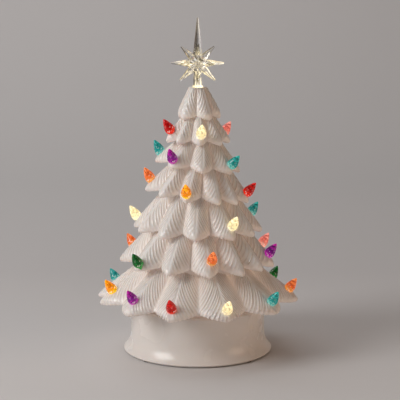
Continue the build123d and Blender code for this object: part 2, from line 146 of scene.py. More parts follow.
@dataclass(frozen=True)
class GlazedCeramic:
    """Slip-cast earthenware under a poured satin glaze.

    It gives the eye a warm white, paler on ridges where the glaze runs thin, browner in grooves and valleys
    where it pools and where shade is painted in, a soft shine that wanders, a faint orange peel and a painted
    glow of the lamp inside in the thin places.
    """

    name: str = "glazed_earthenware"
    ridge: str = "#ece7e3"
    body: str = "#e6ded7"
    # Colour where the glaze pools and where shade is painted into the grooves and valleys.
    pooled_and_shaded: str = "#b39c8a"
    body_share: float = 0.35
    # Colour and strength of the painted glow of the lamp inside.
    inside_warm: str = "#ffd4ba"
    inside_light: float = 0.1
    cloud_mm: float = 38.0
    cloud_detail: float = 3.0
    cloud_tint: float = 0.22
    peel_mm: float = 2.2
    peel_detail: float = 2.0
    peel_height_mm: float = 0.3
    peel_strength: float = 0.12
    roughness: float = 0.24
    smoother: float = 0.07
    rougher: float = 0.1
    ior: float = 1.52
    scatter: float = 0.22
    scatter_mm: float = 2.2
    scatter_reach: tuple[float, float, float] = (1.0, 0.74, 0.55)

    def build(self) -> Material:
        """Makes the glaze's node material.

        Returns:
            The material.
        """
        material, tree, shader, place = blank_material(self.name)
        # Glaze pooled in the grooves, with painted shade in the grooves and valleys, from 0 to 1.
        pool_and_shade = add_node(tree, "Attribute", out="Fac", attribute_name="pool_and_shade")
        # Where the lamp's glow is painted in: towards the valleys and along the boughs' smooth rims.
        painted_glow = add_node(tree, "Attribute", out="Fac", attribute_name="painted_glow")
        clouds = {"Vector": place, "Scale": 1 / (self.cloud_mm * MM), "Detail": self.cloud_detail}
        cloud = add_node(tree, "TexNoise", clouds)
        spread = {0: cloud, 1: self.cloud_tint, 2: -self.cloud_tint / 2}
        wander = add_node(tree, "Math", spread, operation="MULTIPLY_ADD")
        depth = add_node(tree, "Math", {0: pool_and_shade, 1: wander}, operation="ADD", use_clamp=True)
        tones = ((0.0, self.ridge), (self.body_share, self.body), (1.0, self.pooled_and_shaded))
        tint = add_node(tree, "ValToRGB", {"Fac": depth}, stops=tones)
        shine = (self.roughness - self.smoother, self.roughness + self.rougher)
        sheen = add_node(tree, "MapRange", {"Value": cloud, TO: shine})
        pits = {"Vector": place, "Scale": 1 / (self.peel_mm * MM), "Detail": self.peel_detail}
        peel = add_node(tree, "TexNoise", pits)
        relief = {"Height": peel, "Strength": self.peel_strength, "Distance": self.peel_height_mm * MM}
        bump = add_node(tree, "Bump", relief)
        # Painted glow of the lamp inside, strongest where the ceramic is thin.
        inside = add_node(tree, "Math", {0: painted_glow, 1: self.inside_light}, operation="MULTIPLY")
        sockets = {
            "Base Color": tint,
            "Roughness": sheen,
            "Normal": bump,
            "IOR": self.ior,
            "Emission Color": linear(self.inside_warm),
            "Emission Strength": inside,
            "Subsurface Weight": self.scatter,
            "Subsurface Radius": self.scatter_reach,
            "Subsurface Scale": self.scatter_mm * MM,
        }
        set_inputs(tree, shader, sockets)
        return material


@dataclass(frozen=True)
class DyeAndGlow:
    """A bulb's dye and painted lamp light: the record's slot, the colours at the peg, where the lamp's light is
    painted in, in the middle and at the tip, and the strength of its painted glow.
    """

    slot: str
    lit: str
    deep: str
    tip: str
    glow: float


class BulbColour(Enum):
    """Colours of the plug bulbs, each with the lamp's light painted in at the peg and its painted glow."""

    RED = DyeAndGlow("bulb_red", "#ff3008", "#a20000", "#d40804", 0.5)
    CORAL = DyeAndGlow("bulb_coral", "#ffc0ac", "#e87e70", "#ffbaac", 0.45)
    ORANGE = DyeAndGlow("bulb_orange", "#ffbc60", "#d8682c", "#f69c58", 0.5)
    AMBER = DyeAndGlow("bulb_amber", "#ffe010", "#d07800", "#ffb400", 0.74)
    CLEAR = DyeAndGlow("bulb_clear", "#fff8d4", "#eadcae", "#fbf1cc", 0.66)
    GREEN = DyeAndGlow("bulb_green", "#28b048", "#005018", "#007028", 0.34)
    TEAL = DyeAndGlow("bulb_teal", "#86e6dc", "#0a8a86", "#3cbcb4", 0.37)
    PURPLE = DyeAndGlow("bulb_purple", "#dc3cc8", "#700678", "#c80ca4", 0.44)


@dataclass(frozen=True)
class CastAcrylic:
    """Cast acrylic with dye in it.

    It gives the eye a glossy, half-clear bulb that is bright at the peg, where the lamp's light is painted in,
    deep in the middle and paler at the tip, with uneven facets, a painted glow that differs from facet to facet
    and small painted white glints near the peg.
    """

    colour: BulbColour
    roughness: float = 0.05
    ior: float = 1.49
    clearness: float = 0.38
    dye_and_light_shares: tuple[float, float, float, float] = (0.1, 0.34, 0.64, 0.98)
    facet_mm: float = 1.9
    facet_tint: float = 0.46
    facet_height_mm: float = 0.4
    facet_strength: float = 0.6
    # Painted glow on the facets, from dim_share of the full glow up to the full glow.
    facet_range: Pair = (0.3, 0.7)
    dim_share: float = 0.25
    # Painted white glints near the peg.
    glint_mm: float = 1.0
    glint_colour: str = "#fff8ea"
    glint_range: Pair = (0.76, 0.84)
    glint_most: float = 0.7
    glint_shares: Pair = (0.25, 0.6)
    glint_least: float = 0.1

    def build(self) -> Material:
        """Makes the dyed acrylic's node material.

        Returns:
            The material.
        """
        dye_and_glow = self.colour.value
        material, tree, shader, place = blank_material(f"cast_acrylic_{dye_and_glow.slot}")
        along = add_node(tree, "Attribute", out="Fac", attribute_name="along")
        facet = add_node(tree, "TexVoronoi", {"Vector": place, "Scale": 1 / (self.facet_mm * MM)}, "Color")
        hollow = facet.node.outputs["Distance"]
        uneven = {0: facet, 1: self.facet_tint, 2: -self.facet_tint / 2}
        spread = add_node(tree, "Math", uneven, operation="MULTIPLY_ADD")
        level = add_node(tree, "Math", {0: along, 1: spread}, operation="ADD", use_clamp=True)
        # Dye colours from peg to tip, with the lamp's light painted in at the peg.
        tones = list(zip(self.dye_and_light_shares, (dye_and_glow.lit, dye_and_glow.deep, dye_and_glow.deep, dye_and_glow.tip)))
        dyed_and_lit = add_node(tree, "ValToRGB", {"Fac": level}, stops=tones)
        # Painted white glints near the peg.
        glint = self.glint(tree, along, place)
        pair = {"Fac": glint, "Color1": dyed_and_lit, "Color2": linear(self.glint_colour)}
        colour = add_node(tree, "MixRGB", pair)
        # Painted glow of the lamp inside, brighter on some facets than on others.
        glow = (self.dim_share * dye_and_glow.glow, dye_and_glow.glow)
        strength = add_node(tree, "MapRange", {"Value": facet, FROM: self.facet_range, TO: glow})
        relief = {"Height": hollow, "Strength": self.facet_strength, "Distance": self.facet_height_mm * MM}
        bump = add_node(tree, "Bump", relief)
        sockets = {
            "Base Color": colour,
            "Emission Color": colour,
            "Emission Strength": strength,
            "Normal": bump,
            "Roughness": self.roughness,
            "IOR": self.ior,
            "Transmission Weight": self.clearness,
        }
        set_inputs(tree, shader, sockets)
        return material

    def glint(self, tree: NodeTree, along: NodeSocket, place: NodeSocket) -> NodeSocket:
        """Adds the nodes of the painted white glints, which fade from the peg to the middle.

        Args:
            tree: Node tree of the acrylic.
            along: How far along the bulb a point lies.
            place: Where it lies on the bulb.

        Returns:
            The glints' strength.
        """
        speck = add_node(tree, "TexVoronoi", {"Vector": place, "Scale": 1 / (self.glint_mm * MM)}, "Color")
        white = {"Value": speck, FROM: self.glint_range, TO: (0, self.glint_most)}
        bright = add_node(tree, "MapRange", white)
        fade = {"Value": along, FROM: self.glint_shares, TO: (1, self.glint_least)}
        near = add_node(tree, "MapRange", fade)
        return add_node(tree, "Math", {0: bright, 1: near}, operation="MULTIPLY")


@dataclass(frozen=True)
class ClearAcrylic:
    """Clear moulded acrylic; heights in millimetres above the tree's neck.

    It gives the eye rays that bend the background, a painted dark reflection on the facets that face left, and
    the lamp's warm light painted in the flange's rim and in streaks along the rays. At streak_reach_mm from the
    star's middle the streaks are streak_mm wide.
    """

    neck_height: float
    name: str = "clear_moulded_acrylic"
    tint: str = "#fbfaf8"
    # Painted dark reflection on the facets that face left, and the facing over which it fades in.
    reflection_dark: str = "#7d766c"
    reflection_facing: Pair = (-0.75, -0.35)
    # Colour of the lamp's light painted into the star.
    warm: str = "#ffedbe"
    ior: float = 1.49
    roughness: float = 0.02
    clearness: float = 1.0
    middle_rise: float = 26.0
    streak_mm: float = 2.0
    streak_reach_mm: float = 17.0
    streak_detail: float = 2.0
    streak_range: Pair = (0.52, 0.68)
    streak_strength: float = 0.3
    streak_height_mm: float = 0.3
    # Heights over which the painted light in the streaks fades, and where the flange's rim is painted lit.
    lit_rises: Pair = (1.0, 44.0)
    lit_least: float = 0.08
    rim_rises: Pair = (2.2, 1.4)
    rim_light: float = 0.55

    def build(self) -> Material:
        """Makes the clear acrylic's node material.

        Returns:
            The material.
        """
        material, tree, shader, place = blank_material(self.name)
        middle = (0.0, 0.0, (self.neck_height + self.middle_rise) * MM)
        away = add_node(tree, "VectorMath", {0: place, 1: middle}, operation="SUBTRACT")
        ray = add_node(tree, "VectorMath", {0: away}, operation="NORMALIZE")
        lines = {"Vector": ray, "Scale": self.streak_reach_mm / self.streak_mm, "Detail": self.streak_detail}
        streak = add_node(tree, "TexNoise", lines)
        relief = {"Height": streak, "Strength": self.streak_strength, "Distance": self.streak_height_mm * MM}
        bump = add_node(tree, "Bump", relief)
        # Painted dark reflection on the facets that face left.
        normal = add_node(tree, "NewGeometry", out="True Normal")
        facing = add_node(tree, "SeparateXYZ", {0: normal}, "X")
        side = add_node(tree, "MapRange", {"Value": facing, FROM: self.reflection_facing})
        shade = add_node(tree, "ValToRGB", {"Fac": side}, stops=((0.0, self.reflection_dark), (1.0, self.tint)))
        sockets = {
            "Base Color": shade,
            "Emission Color": linear(self.warm),
            "Emission Strength": self.inside_light(tree, place, streak),
            "Normal": bump,
            "Roughness": self.roughness,
            "IOR": self.ior,
            "Transmission Weight": self.clearness,
        }
        set_inputs(tree, shader, sockets)
        return material

    def inside_light(self, tree: NodeTree, place: NodeSocket, streak: NodeSocket) -> NodeSocket:
        """Adds the nodes of the lamp's light, painted into the star.

        Args:
            tree: Node tree of the acrylic.
            place: Where a point lies in the frame.
            streak: Noise that runs out along the rays.

        Returns:
            The light's strength.
        """
        height = add_node(tree, "SeparateXYZ", {0: place}, "Z")
        line = add_node(tree, "MapRange", {"Value": streak, FROM: self.streak_range})
        lit_heights = [(self.neck_height + rise) * MM for rise in self.lit_rises]
        lit = add_node(tree, "MapRange", {"Value": height, FROM: lit_heights, TO: (1, self.lit_least)})
        strength = add_node(tree, "Math", {0: line, 1: lit}, operation="MULTIPLY")
        rim_heights = [(self.neck_height + rise) * MM for rise in self.rim_rises]
        rim = add_node(tree, "MapRange", {"Value": height, FROM: rim_heights, TO: (0, self.rim_light)})
        return add_node(tree, "Math", {0: strength, 1: rim}, operation="MAXIMUM")


@dataclass(frozen=True)
class Moulded:
    """A plain moulded, plated or coated surface with a slightly uneven colour and shine.

    Its grain is drawn coarser than the real one, so that it shows in the render.
    """

    name: str
    pale: str
    dark: str
    grain_mm: float
    roughness: float
    ior: float = 1.5
    metallic: float = 0.0
    relief: float = 0.15
    glow: float = 0.0
    grain_detail: float = 4.0
    grain_height_mm: float = 0.2
    dark_share: float = 0.3
    pale_share: float = 0.7
    smoother: float = 0.08
    rougher: float = 0.1
    smoothest: float = 0.02

    def build(self) -> Material:
        """Makes the surface's node material.

        Returns:
            The material.
        """
        material, tree, shader, place = blank_material(self.name)
        grains = {"Vector": place, "Scale": 1 / (self.grain_mm * MM), "Detail": self.grain_detail}
        grain = add_node(tree, "TexNoise", grains)
        tones = ((self.dark_share, self.dark), (self.pale_share, self.pale))
        colour = add_node(tree, "ValToRGB", {"Fac": grain}, stops=tones)
        shine = (max(self.roughness - self.smoother, self.smoothest), self.roughness + self.rougher)
        sheen = add_node(tree, "MapRange", {"Value": grain, TO: shine})
        relief = {"Height": grain, "Strength": self.relief, "Distance": self.grain_height_mm * MM}
        bump = add_node(tree, "Bump", relief)
        set_inputs(tree, shader, {"Base Color": colour, "Roughness": sheen, "Normal": bump})
        if self.glow:
            set_inputs(tree, shader, {"Emission Color": colour, "Emission Strength": self.glow})
        if self.metallic:
            set_inputs(tree, shader, {"Metallic": self.metallic})
        else:
            set_inputs(tree, shader, {"IOR": self.ior})
        return material


class Finish(Enum):
    """Finishes of the feet and of the parts inside the base; each comment says what it gives the eye."""

    # Off-white plastic with an even satin skin.
    ABS = Moulded("moulded_abs", "#eeece6", "#dedbd2", 0.9, 0.42, ior=1.53)
    # Near-black plastic with the same satin skin.
    BLACK_ABS = Moulded("moulded_black_abs", "#201f1e", "#141312", 0.7, 0.45, ior=1.53)
    # Dark, dull and slightly rough rubber.
    RUBBER = Moulded("moulded_rubber", "#37332f", "#25221f", 0.6, 0.75, ior=1.52, relief=0.3)
    # Warm, smooth and bright metal.
    NICKEL = Moulded("nickel_plated_steel", "#cfcac0", "#b7b1a6", 0.5, 0.28, metallic=1.0, relief=0.05)
    # Cooler and duller metal.
    ZINC = Moulded("zinc_plated_steel", "#c4c4be", "#a2a29c", 0.5, 0.35, metallic=1.0, relief=0.08)
    # Plain slate wrap with a film's gloss.
    CELL = Moulded("wrapped_cell_can", "#555b63", "#3f444b", 3.0, 0.3)
    # White lacquer with a low gloss.
    BOARD = Moulded("solder_mask_board", "#eef0ea", "#d8dcd4", 1.2, 0.3)
    # Glossy amber-white drops that glow.
    DIODE = Moulded("epoxy_diode", "#fff1cf", "#ffdf9a", 2.0, 0.12, ior=1.55, glow=1.2)
    # Soft red plastic.
    RED_PVC = Moulded("red_pvc_wire", "#b8140f", "#93100c", 0.8, 0.4, ior=1.53)
    # Soft black plastic.
    BLACK_PVC = Moulded("black_pvc_wire", "#232323", "#161616", 0.8, 0.4, ior=1.53)


def new_mesh(name: str, points: ndarray, faces: Sequence[Sequence[int]], material: Material) -> Mesh:
    """Makes a smooth mesh from points in metres.

    Args:
        name: Name of the mesh.
        points: One row of x, y, z for each point.
        faces: Point numbers of each face.
        material: Finish of the mesh.

    Returns:
        The mesh.
    """
    mesh = bpy.data.meshes.new(name)
    mesh.from_pydata(points.tolist(), [], [list(face) for face in faces])
    mesh.materials.append(material)
    mesh.shade_smooth()
    return mesh


def add_object(name: str, data: ID) -> Object:
    """Puts a new object in the scene.

    Args:
        name: Name of the object.
        data: Its mesh, lamp or camera.

    Returns:
        The object.
    """
    made = bpy.data.objects.new(name, data)
    bpy.context.scene.collection.objects.link(made)
    return made


def set_attribute(mesh: Mesh, name: str, values: ndarray) -> None:
    """Stores one number for each point of a mesh under a name."""
    layer = mesh.attributes.new(name, "FLOAT", "POINT")
    layer.data.foreach_set("value", np.ascontiguousarray(values, np.float32))


def cut_corners(line: ndarray, times: int) -> ndarray:
    """Rounds a line of points, with its ends kept, by cutting a quarter off each side of its corners.

    Args:
        line: One row for each point.
        times: How often the corners are cut.

    Returns:
        The rounded line.
    """
    for _ in range(times):
        near = 0.75 * line[:-1] + 0.25 * line[1:]
        far = 0.25 * line[:-1] + 0.75 * line[1:]
        middle = np.stack([near, far], 1).reshape(-1, line.shape[1])
        line = np.vstack([line[:1], middle, line[-1:]])
    return line


def around(radius: ndarray | float, angle: ndarray, height: ndarray) -> ndarray:
    """Points round the axis, at angles in radians from the front towards +X."""
    return np.stack([radius * np.sin(angle), -radius * np.cos(angle), height], -1)


@dataclass(frozen=True)
class Tier:
    """One ring of boughs, numbered from 0 at the top.

    Lengths are in millimetres and angles in degrees from the front towards +X. Root and nose are the crests'
    (radius, height) where they go into the tier above and where they round off to the tips. The core is
    the radius that the tier has under its lip.
    """

    number: int
    turns: tuple[float, ...]
    lean: float
    radius: float
    tip: float
    depth: float
    lip: float
    core: float
    root: Pair
    nose: Pair

    @property
    def lean_matrix(self) -> Matrix:
        """Turn about the tier's middle that gives its hand-made lean, in metres."""
        pivot = Matrix.Translation((0, 0, self.tip * MM))
        return pivot @ Matrix.Rotation(math.radians(self.lean), 4, "Y") @ pivot.inverted()

    @property
    def halves(self) -> ndarray:
        """Works out how wide the two halves of each bough are.

        Returns:
            Angles from the crest to the valleys before and after it, one row for each bough.
        """
        turns = np.array(self.turns)
        after = (np.roll(turns, -1) - turns) % 360 / 2
        return np.stack([np.roll(after, 1), after], -1)


@dataclass(frozen=True)
class Columns:
    """Columns of a tier's grid: bough, half of it, share of that half from crest to valley, and angles.

    The angles are the column's own, in degrees, and the half bough's, whose width is in millimetres.
    """

    bough: ndarray
    after: ndarray
    off: ndarray
    turn: ndarray
    spread: ndarray
    width: ndarray


@dataclass
class TreeShell:
    """The hollow ceramic tree: seven rings of ridged boughs with cut needles, and a closed inner wall.

    Lengths are in millimetres and angles in degrees.
    """

    tree_radius: float = 112.0
    neck_height: float = 293.0
    seat_height: float = 52.0
    neck_radius: float = 9.7
    star_bore_radius: float = 4.7
    foot_radius: float = 68.5
    foot_wall: float = 6.0
    wall: float = 3.6
    lip_drop: float = 3.5
    lip_inset: float = 3.0
    lip_round_in_share: float = 0.3
    lip_round_up_share: float = 0.2
    nose_rise: float = 6.0
    nose_bulge: float = 2.0
    overlap: float = 10.0
    undercut_rise: float = 5.0
    collar_inset: float = 1.5
    collar_drop: float = 9.0
    top_valley_share: float = 0.2
    nose_valley_share: float = 0.9
    nose_undercut_share: float = 0.4
    tip_undercut_share: float = 0.8
    valley_step: float = 0.2
    valley_end_rise: float = 0.3
    corner_cuts: int = 3
    flank_power: float = 1.5
    droop_spread: float = 1.1
    sway_share: float = 0.1
    needle_pitch: float = 3.0
    needle_angle: float = 26.0
    needle_depth: float = 0.8
    needle_spread_share: float = 0.22
    needle_least_share: float = 0.65
    needle_fade_share: float = 0.15
    needle_gap: float = 1.6
    rib_height: float = 0.45
    rib_half_width: float = 1.5
    seam_depth: float = 0.3
    seam_place: float = 2.4
    seam_half_width: float = 1.2
    rim: float = 4.0
    smooth_rim: float = 1.5
    # Shares of pooled glaze and painted shade in the needles' grooves, the valleys between boughs and the
    # seams; the rib is paler and the inner wall a little darker.
    needle_pool_and_shade: float = 0.8
    valley_pool_and_shade: float = 0.2
    valley_pool_and_shade_power: int = 8
    seam_pool_and_shade: float = 0.15
    rib_pool: float = 0.2
    inner_wall_darkening: float = 0.3
    # Power of the painted glow's rise towards the valleys.
    painted_glow_power: int = 3
    merge_gap: float = 0.002
    seed: int = 12
    turns: tuple[tuple[float, ...], ...] = (
        (-125.0, -40.0, 30.0, 88.0, 155.0),
        (-120.0, -74.0, -38.0, 4.0, 46.0, 85.0, 122.0, 184.0),
        (-136.0, -90.0, -37.0, 6.0, 52.0, 94.0, 132.0, 164.0, 194.0),
        (-128.0, -84.0, -44.0, -13.0, 23.0, 48.0, 74.0, 112.0, 150.0, 190.0),
        (-148.0, -122.0, -95.0, -64.0, -32.0, -2.0, 31.0, 60.0, 88.0, 114.0, 145.0, 178.0),
        (-142.0, -119.0, -88.0, -50.0, -22.0, 8.0, 34.0, 55.0, 77.0, 114.0, 141.0, 168.0, 195.0),
        (-141.0, -119.0, -93.5, -73.0, -43.0, -14.5, 15.5, 48.5, 84.0, 125.0, 150.0, 173.0, 196.0),
    )
    slopes: tuple[float, ...] = (65.0, 55.0, 48.0, 49.0, 51.0, 48.0, 38.5)
    leans: tuple[float, ...] = (0.0, 2.0, 7.0, 6.0, 1.2, 1.0, 0.0)
    radius_shares: tuple[float, ...] = (0.226, 0.321, 0.425, 0.524, 0.64, 0.775, 1.0)
    tip_shares: tuple[float, ...] = (0.869, 0.761, 0.645, 0.519, 0.359, 0.2075, 0.0334)
    valley_shares: tuple[float, ...] = (0.32, 0.35, 0.32, 0.3, 0.24, 0.26, 0.16)
    column_shares: tuple[float, ...] = (0.0, 0.045, 0.1, 0.2, 0.33, 0.48, 0.63, 0.77, 0.89)
    groove_rows: tuple[Pair, ...] = ((0.0, 1.0), (0.18, 0.3), (0.5, -0.12), (0.82, 0.3))
    tiers: list[Tier] = field(init=False, default_factory=list)

    def __post_init__(self) -> None:
        """Works out the tiers from the tables of shares."""
        rise = self.neck_height - self.seat_height
        root = (self.neck_radius, self.neck_height)
        for number, turns in enumerate(self.turns):
            radius = self.radius_shares[number] * self.tree_radius
            tip = self.seat_height + self.tip_shares[number] * rise
            depth = radius * self.valley_shares[number]
            fall = math.tan(math.radians(self.slopes[number]))
            if self.tiers:
                height = self.tiers[-1].lip + self.overlap
                root = (radius - (height - tip) / fall, height)
            nose = (radius - self.nose_rise / fall + self.nose_bulge, tip + self.nose_rise)
            last = number == len(self.turns) - 1
            core = self.foot_radius if last else radius - depth - self.collar_inset
            lip = tip - self.lip_drop
            lean = self.leans[number]
            self.tiers.append(Tier(number, turns, lean, radius, tip, depth, lip, core, root, nose))

    def profiles(self, tier: Tier) -> tuple[ndarray, ndarray, ndarray]:
        """Crest and valley lines of a bough, from its root over the nose to the end of the undercut.

        Args:
            tier: Tier of the bough.

        Returns:
            Lengths along the crest, crest points and valley points, as (radius, height) rows.
        """
        root_radius, root_height = tier.root
        nose_radius, nose_height = tier.nose
        lip, core, rise, depth = tier.lip, tier.core, self.undercut_rise, tier.depth
        rounding = lip + self.lip_round_up_share * self.lip_drop
        inside = tier.radius - depth
        crest = [
            tier.root,
            tier.nose,
            (tier.radius, tier.tip),
            (tier.radius - self.lip_round_in_share * self.lip_inset, rounding),
            (tier.radius - self.lip_inset, lip),
            (core, lip + rise),
        ]
        valley = [
            (root_radius - depth * self.top_valley_share, root_height),
            (nose_radius - depth * self.nose_valley_share, nose_height + self.nose_undercut_share * rise),
            (inside, tier.tip + self.tip_undercut_share * rise),
            (inside - self.valley_step, rounding + rise),
            (inside - 2 * self.valley_step, lip + rise),
            (min(core, inside - 3 * self.valley_step), lip + rise + self.valley_end_rise),
        ]
        both = cut_corners(np.hstack([crest, valley]), self.corner_cuts)
        steps = np.hypot(*np.diff(both[:, :2], axis=0).T)
        return np.concatenate([[0], np.cumsum(steps)]), both[:, :2], both[:, 2:]

    def inner_wall(self, tier: Tier) -> list[Pair]:
        """Closed inner side of a tier, from the end of its undercut back up to its root.

        Args:
            tier: Tier that is closed.

        Returns:
            Points as (radius, height).
        """
        root_radius, root_height = tier.root
        core, lip, seat = tier.core, tier.lip, self.seat_height
        valley = tier.radius - tier.depth
        top_valley = root_radius - tier.depth * self.top_valley_share
        slope = math.atan2(root_height - tier.tip, valley - top_valley)
        inset = self.wall / math.sin(slope)
        shoulder = (max(top_valley - inset, self.star_bore_radius), root_height - self.wall)
        if tier is self.tiers[-1]:
            bore = self.foot_radius - self.foot_wall
            floor = lip + self.undercut_rise + self.wall
            reach = valley - inset - (floor - tier.tip) / math.tan(slope)
            return [(core, seat), (bore, seat), (bore, floor), (reach, floor), shoulder]
        reach = core - self.wall
        points = [(core, lip - self.collar_drop), (reach, lip - self.collar_drop), (reach, tier.tip)]
        if tier is self.tiers[0]:
            bore = self.star_bore_radius
            hollow_top = tier.tip + (reach - bore) * math.tan(slope)
            return points + [(bore, hollow_top), (bore, self.neck_height)]
        return points + [shoulder]

    def grid_columns(self, tier: Tier) -> Columns:
        """Columns of a tier's grid, closest together at the crests.

        Args:
            tier: Tier that is covered.

        Returns:
            The columns, from bough to bough.
        """
        half = np.array(self.column_shares)
        side = np.tile(np.concatenate([[-1.0], -half[:0:-1], half]), len(tier.turns))
        bough = np.repeat(np.arange(len(tier.turns)), 2 * len(half))
        after = (side >= 0).astype(int)
        spread = tier.halves[bough, after]
        turn = np.array(tier.turns)[bough] + side * spread
        return Columns(bough, after, np.abs(side), turn, spread, tier.radius * np.radians(spread))

    def needle_rows(self, tier: Tier, start: float, end: float, rng: Generator) -> tuple[ndarray, ndarray]:
        """Places of the rows that follow the needles, uneven from bough to bough.

        Args:
            tier: Tier that is covered.
            start: Where the first row starts, along the crest.
            end: Where the last row ends.
            rng: Source of the unevenness.

        Returns:
            Place of each row in each half bough, and how deep each row lies in a groove.
        """
        pitch = self.needle_pitch / math.sin(math.radians(self.needle_angle))
        count = math.ceil((end - start) / pitch)
        width = 1 + self.needle_spread_share * rng.uniform(-1, 1, (count, len(tier.turns), 2))
        edge = np.concatenate([np.zeros((1, *width.shape[1:])), np.cumsum(width, 0)])
        edge = start + (end - start) * edge / edge[-1]
        shares = np.array([share for share, _ in self.groove_rows])
        place = edge[:-1, None] + shares[None, :, None, None] * (edge[1:] - edge[:-1])[:, None]
        depth = np.tile([cut for _, cut in self.groove_rows], count)
        place = np.concatenate([place.reshape(-1, *width.shape[1:]), edge[-1:]])
        return place, np.append(depth, 0.0)

    def bare_grid(self, tier: Tier, columns: Columns, run: ndarray, rng: Generator) -> ndarray:
        """Outer points of a tier before its needles are cut.

        Args:
            tier: Tier that is covered.
            columns: Columns of the grid.
            run: Where each point lies along the crest.
            rng: Source of the boughs' uneven droop and sway.

        Returns:
            Points in rows and columns.
        """
        length, crest, valley = self.profiles(tier)
        count = len(tier.turns)
        dome = columns.off**self.flank_power
        radius, height = (
            np.interp(run, length, high) * (1 - dome) + np.interp(run, length, low) * dome
            for high, low in zip(crest.T, valley.T)
        )
        reach = run / length[-1]
        droop = rng.uniform(-self.droop_spread, self.droop_spread, count)[columns.bough]
        height = height + droop * reach * (1 - dome)
        sway = rng.uniform(-self.sway_share, self.sway_share, count)[columns.bough]
        angle = np.radians(columns.turn + sway * columns.spread * reach * (1 - columns.off))
        return around(radius, angle, height)

    def relief(
        self,
        columns: Columns,
        groove: ndarray,
        open_share: ndarray,
        rng: Generator,
    ) -> tuple[ndarray, ndarray]:
        """Needles, rib and seams of a tier's boughs, and the glaze that pools in them, with painted shade in
        the grooves and valleys.

        Args:
            columns: Columns of the grid.
            groove: How deep each row lies in a groove.
            open_share: How far each point is above the smooth rim.
            rng: Source of the needles' uneven depth.

        Returns:
            Height of the relief and depth of the pooled glaze and painted shade at each point.
        """
        off, across = columns.off, columns.off * columns.width
        inward = np.clip((1 - off) / self.needle_fade_share, 0, 1)
        outward = np.clip((across - self.needle_gap) / self.needle_gap, 0, 1)
        uneven = rng.uniform(self.needle_least_share, 1.0, (len(groove), columns.bough.max() + 1, 2))
        cut = groove[:, None] * (open_share * inward * outward) * uneven[:, columns.bough, columns.after]
        rib = np.clip(1 - across / self.rib_half_width, 0, 1) * open_share
        seam = np.clip(1 - np.abs(across - self.seam_place) / self.seam_half_width, 0, 1) * open_share
        shift = self.rib_height * rib - self.seam_depth * seam - self.needle_depth * cut
        # Pooled glaze with painted shade, deepest in the needles' grooves and in the valleys between boughs.
        pool_and_shade = self.needle_pool_and_shade * cut + self.valley_pool_and_shade * off**self.valley_pool_and_shade_power * open_share
        return shift, np.clip(pool_and_shade + self.seam_pool_and_shade * seam - self.rib_pool * rib, 0, 1)

    def ring(self, tier: Tier) -> tuple[ndarray, ndarray, ndarray, ndarray]:
        """Closed ring of one tier.

        Args:
            tier: Tier that is made.

        Returns:
            Points in metres, faces as rows of four point numbers, the pooled glaze with painted shade, and the
            thinness that sets the painted glow of the lamp inside, at each point.
        """
        rng = np.random.default_rng(self.seed + tier.number)
        length, crest, _ = self.profiles(tier)
        columns = self.grid_columns(tier)
        slant = columns.width / math.tan(math.radians(self.needle_angle))
        rows, groove = self.needle_rows(tier, -slant.max(), length[-1], rng)
        run = np.clip(rows[:, columns.bough, columns.after] + slant * columns.off, 0, length[-1])
        grid = self.bare_grid(tier, columns, run, rng)
        nose = length[np.argmax(crest[:, 0])]
        open_share = np.clip((nose - self.smooth_rim - run) / self.rim, 0, 1)
        shift, pool_and_shade = self.relief(columns, groove, open_share, rng)
        grid = grid + self.normals(grid) * shift[..., None]
        # Share of the lamp's painted glow: towards the valleys and on the smooth rims.
        painted_glow = np.maximum(columns.off**self.painted_glow_power, 1 - open_share)
        angle = np.radians(columns.turn)
        wall = self.inner_wall(tier)
        inner = np.array([around(radius, angle, np.full_like(angle, height)) for radius, height in wall])
        grid = np.concatenate([grid, inner])
        # The inner wall is tinted a little darker and takes the full painted glow.
        pool_and_shade = np.concatenate([pool_and_shade, np.full((len(inner), len(angle)), self.inner_wall_darkening)])
        painted_glow = np.concatenate([painted_glow, np.ones((len(inner), len(angle)))])
        faces = self.ring_faces(*grid.shape[:2])
        return self.leaned(tier, grid), faces, pool_and_shade.reshape(-1), painted_glow.reshape(-1)

    @staticmethod
    def normals(grid: ndarray) -> ndarray:
        """Outward directions of a grid of points that closes round the axis.

        Args:
            grid: Points in rows and columns.

        Returns:
            One unit vector for each point, or zero where points lie on one spot.
        """
        down = np.gradient(grid, axis=0)
        across = np.roll(grid, -1, 1) - np.roll(grid, 1, 1)
        normal = np.cross(across, down)
        size = np.linalg.norm(normal, axis=-1, keepdims=True)
        return np.where(size > ONE_SPOT, normal / np.maximum(size, ONE_SPOT), 0)

    @staticmethod
    def leaned(tier: Tier, grid: ndarray) -> ndarray:
        """Points in metres with the tier's lean."""
        turn = np.array(tier.lean_matrix)
        return (grid.reshape(-1, 3) * MM) @ turn[:3, :3].T + turn[:3, 3]

    @staticmethod
    def ring_faces(rows: int, columns: int) -> ndarray:
        """Faces of a grid that closes both round the axis and through the inside.

        Args:
            rows: Number of rows.
            columns: Number of columns.

        Returns:
            One row of four point numbers for each face.
        """
        i, j = np.meshgrid(np.arange(rows), np.arange(columns), indexing="ij")
        below, beside = (i + 1) % rows, (j + 1) % columns
        corners = (i * columns + j, below * columns + j, below * columns + beside, i * columns + beside)
        return np.stack([c.reshape(-1) for c in corners], -1)

